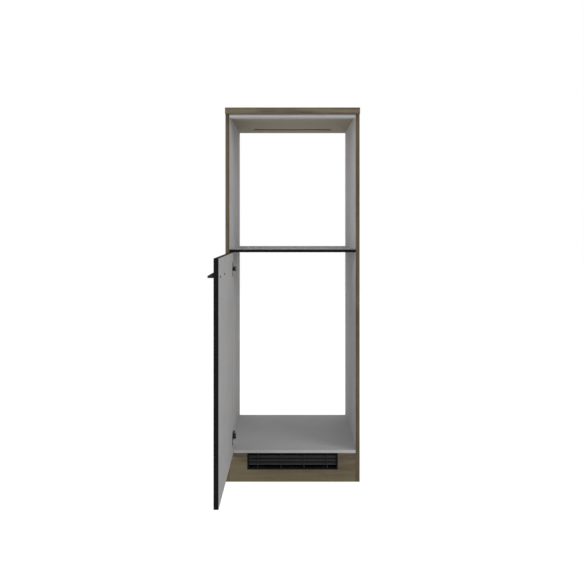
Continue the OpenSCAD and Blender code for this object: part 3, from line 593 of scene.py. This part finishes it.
def plated_steel(name, colour, rough):
    """Plated steel: a metal with the faint cloudiness and hairlines that barrel plating leaves."""
    mat = empty_material(name)
    tree = mat.node_tree
    coords = add(tree, "TexCoord")
    haze = add(tree, "TexNoise", {"Vector": coords.outputs["Object"], "Scale": 1 / HAZE_W, "Detail": 3.0})
    hair = add(tree, "TexNoise", {"Vector": coords.outputs["Object"], "Scale": 1 / HAIRLINE_W,
                                  "Detail": 2.0})
    gloss = add(tree, "MapRange", {"Value": haze.outputs[0], "To Min": rough - 0.08,
                                   "To Max": rough + 0.08})
    tone = add(tree, "ValToRGB", {0: haze.outputs[0]}, stops=(
        (0.3, linear(colour - 0x0A0A0A)), (0.7, linear(colour + 0x080808))))
    bump = add(tree, "Bump", {"Height": hair.outputs[0], "Distance": HAIRLINE_DEPTH, "Strength": 0.3})
    shader = add(tree, "BsdfPrincipled", {"Base Color": tone.outputs[0], "Metallic": 1.0,
                                          "Roughness": gloss.outputs[0], "Normal": bump.outputs[0]})
    add(tree, "OutputMaterial", {"Surface": shader.outputs[0]})
    return mat


# bright zinc looks silver with a breath of blue
zinc = plated_steel("zinc_plated_steel", 0xBFC3C6, 0.32)
for node in ("plinth_brackets", "bracket_screws", "cam_locks", "cam_bolts"):
    dress(node, zinc)

# turned beech is pale tan and dull, with darker flecks, which are drawn coarser than real ones
FLECK_L, FLECK_W = 16.67 * MM, 1.111 * MM
beech = empty_material("turned_beech")
tree = beech.node_tree
coords = add(tree, "TexCoord")
fibre = add(tree, "Mapping", {"Vector": coords.outputs["Object"],
                              "Scale": (1 / FLECK_L, 1 / FLECK_W, 1 / FLECK_W)})
flecks = add(tree, "TexNoise", {"Vector": fibre.outputs[0], "Scale": 1.0, "Detail": 3.0})
tone = add(tree, "ValToRGB", {0: flecks.outputs[0]}, stops=(
    (0.3, linear(0xB98B5C)), (0.7, linear(0xD8B383))))
shader = add(tree, "BsdfPrincipled", {"Base Color": tone.outputs[0], "Roughness": 0.7})
add(tree, "OutputMaterial", {"Surface": shader.outputs[0]})
dress("panel_dowels", beech)

# the caps are moulded to match the melamine, so that they hardly show
dress("cam_cover_caps", grey_melamine("grey_plastic_cap"))


# Hinges, carcass side: pressed and plated steel. A winged plate is screwed to the side panel, a
# channel-shaped arm sits on its block, and the links turn on pins through the arm's cheeks.
def pressed(node, radius):
    """A pressed piece's shape, with its corners rounded as pressing and barrel plating leave them."""
    return softened(node, radius, lambda edge: (
        len(edge.link_faces) == 2 and edge.calc_face_angle(0) > math.radians(35)
        and edge.calc_length() > 2.5 * radius))


PLATE_R = 0.25 * MM
# the plates are plated a smoky grey nickel, and the arms a nearly black one
smoky_nickel = plated_steel("smoky_nickel_plated_steel", 0x423E40, 0.42)
black_nickel = plated_steel("black_nickel_plated_steel", 0x121213, 0.48)
for node, name, finish in (("hinge_mounting_plates", "hinge_plate_steel", smoky_nickel),
                           ("hinge_arms", "hinge_arm_steel", black_nickel)):
    new_piece(name, pressed(node, PLATE_R), finish, "carcass", "nickel_plated_steel", node)
dress("plate_screws", smoky_nickel)
dress("arm_screws", black_nickel)
# bare spring steel under a film of oil is a clean mid grey
spring_steel = plated_steel("oiled_spring_steel", 0x8A8B8E, 0.3)
for node in ("arm_pins", "arm_springs"):
    dress(node, spring_steel)


# Links: pressed strips with rolled eyes, which turn on the pins. The inner one is plated like the
# arm, and the outer one is phosphated, which leaves a duller and slightly lighter black.
LINK_R = 0.15 * MM
new_piece("inner_link_steel", pressed("inner_links", LINK_R), black_nickel,
          "inner_link_pair", "nickel_plated_steel", "inner_links")
phosphated = plated_steel("phosphated_steel", 0x19191A, 0.55)
new_piece("outer_link_steel", pressed("outer_links", LINK_R), phosphated,
          "outer_link_pair", "dark_link_steel", "outer_links")


# Hinge cups: deep-drawn steel with a flange, plated like the plates. They are let into bores in the
# door and held by two screws each.
CUP_R = 0.2 * MM
new_piece("hinge_cup_steel", pressed("hinge_cups", CUP_R), smoky_nickel,
          "door", "nickel_plated_steel", "hinge_cups")
dress("cup_screws", smoky_nickel)
dress("cup_pins", spring_steel)


# Door: an 18 mm chipboard panel with light grey melamine inside and a matt black face outside. Its
# grey is a little darker than the boards', a painted shade on the same melamine, and the black face is a
# little smoother than the grey.
SHADED_DOOR_GREY, DOOR_BLACK, BLACK_ROUGH = 0xA2A1A1, 0x1C1C1D, 0.5
door_mat = empty_material("door_melamine_and_matt_black")
tree = door_mat.node_tree
colour, pearl = plain_melamine(tree, SHADED_DOOR_GREY)
black = plain_melamine(tree, DOOR_BLACK, vary=0x010101)[0]
outside = facing(tree, X, -1)
colour = add(tree, "Mix", {0: outside, 6: colour, 7: black}, data_type="RGBA").outputs[2]
rough = add(tree, "Mix", {0: outside, 2: GREY_ROUGH, 3: BLACK_ROUGH}).outputs[0]
bump = add(tree, "Bump", {"Height": pearl, "Distance": PEARL_DEPTH, "Strength": 0.35})
shader = add(tree, "BsdfPrincipled", {"Base Color": colour, "Roughness": rough, "IOR": MELAMINE_IOR,
                                      "Specular IOR Level": MATT_SPECULAR, "Normal": bump.outputs[0]})
add(tree, "OutputMaterial", {"Surface": shader.outputs[0]})
dress("door_panel", door_mat)


# Door's edges: a 1 mm black ABS strip, glued on all round and milled to a small radius on both faces.
# It is a frame, drawn from the outer and the inner corners of its two faces.
band_low, band_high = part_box("door_edge_band")
core_low, core_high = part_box("door_panel")
shape = bmesh.new()
loops = []
for low, high in ((band_low, band_high), (core_low, core_high)):
    for x in (band_low.x, band_high.x):
        loops.append([shape.verts.new((x, y, z)) for y, z in
                      ((low.y, low.z), (high.y, low.z), (high.y, high.z), (low.y, high.z))])
for a, b in ((0, 1), (2, 3), (0, 2), (1, 3)):
    for k in range(4):
        n = (k + 1) % 4
        shape.faces.new((loops[a][k], loops[a][n], loops[b][n], loops[b][k]))
bmesh.ops.recalc_face_normals(shape, faces=shape.faces)
outer = set(loops[0] + loops[1])
bmesh.ops.bevel(shape, geom=[e for e in shape.edges if set(e.verts) <= outer], offset=MILLED_R,
                segments=3, profile=0.5, affect="EDGES")
new_piece("door_edge_strip", shape, edge_abs, "door", "black_edging", "door_edge_band")


# Handle: a bow of die-cast zinc with a matt black powder coat, held by two screws through the door.
# The coat's orange-peel skin is coarser than the plastic's grain, and its lighter grey-black is a painted
# soft sheen.
BAR_T, LEG_W, BEND_OUT, BEND_IN, BOW_ARRIS = 8 * MM, 12 * MM, 5 * MM, 3 * MM, 0.9 * MM
ARC_STEPS = 8
bow_low, bow_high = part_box("door_handle")


def bow_ring():
    """Outline of the bow in (outwards, along the door), legs on the door's face."""
    face, out, a, b = bow_high.x, bow_low.x, bow_low.y, bow_high.y
    ring = [(face, a), (face, a + LEG_W)]

    def arc(cx, cy, radius, start, end):
        for k in range(ARC_STEPS + 1):
            angle = math.radians(start + (end - start) * k / ARC_STEPS)
            ring.append((cx + radius * math.cos(angle), cy + radius * math.sin(angle)))

    arc(out + BAR_T + BEND_IN, a + LEG_W + BEND_IN, BEND_IN, 270, 180)
    arc(out + BAR_T + BEND_IN, b - LEG_W - BEND_IN, BEND_IN, 180, 90)
    ring += [(face, b - LEG_W), (face, b)]
    arc(out + BEND_OUT, b - BEND_OUT, BEND_OUT, 90, 180)
    arc(out + BEND_OUT, a + BEND_OUT, BEND_OUT, 180, 270)
    return ring


# the coat's grey-black base colour is a painted sheen
powder_black_painted_sheen = matt_black("black_powder_coat", 0x29292A, 0.5, grain_mm=0.9, depth_mm=0.05)
shape = bmesh.new()
add_outline(shape, [bow_ring()], bow_low.z, bow_high.z, BOW_ARRIS, steps=3)
new_piece("bow_handle", shape, powder_black_painted_sheen, "door", "black_handle_metal", "door_handle")
# the screws' heads, which show on the door's inner face, are finished like the hinge cups
dress("handle_screws", smoky_nickel)


# Bumpers: two soft dots of clear cast polyurethane, stuck on to quieten the closing door. They look
# milky, with a soft glint from their slightly uneven skin.
SKIN_W = 1.111 * MM
clear_pu = empty_material("clear_polyurethane")
tree = clear_pu.node_tree
coords = add(tree, "TexCoord")
skin = add(tree, "TexNoise", {"Vector": coords.outputs["Object"], "Scale": 1 / SKIN_W, "Detail": 2.0})
gloss = add(tree, "MapRange", {"Value": skin.outputs[0], "To Min": 0.15, "To Max": 0.3})
shader = add(tree, "BsdfPrincipled", {"Base Color": linear(0xE6E6E0), "Roughness": gloss.outputs[0],
                                      "IOR": 1.5, "Transmission Weight": 0.5})
add(tree, "OutputMaterial", {"Surface": shader.outputs[0]})
dress("door_bumpers", clear_pu)
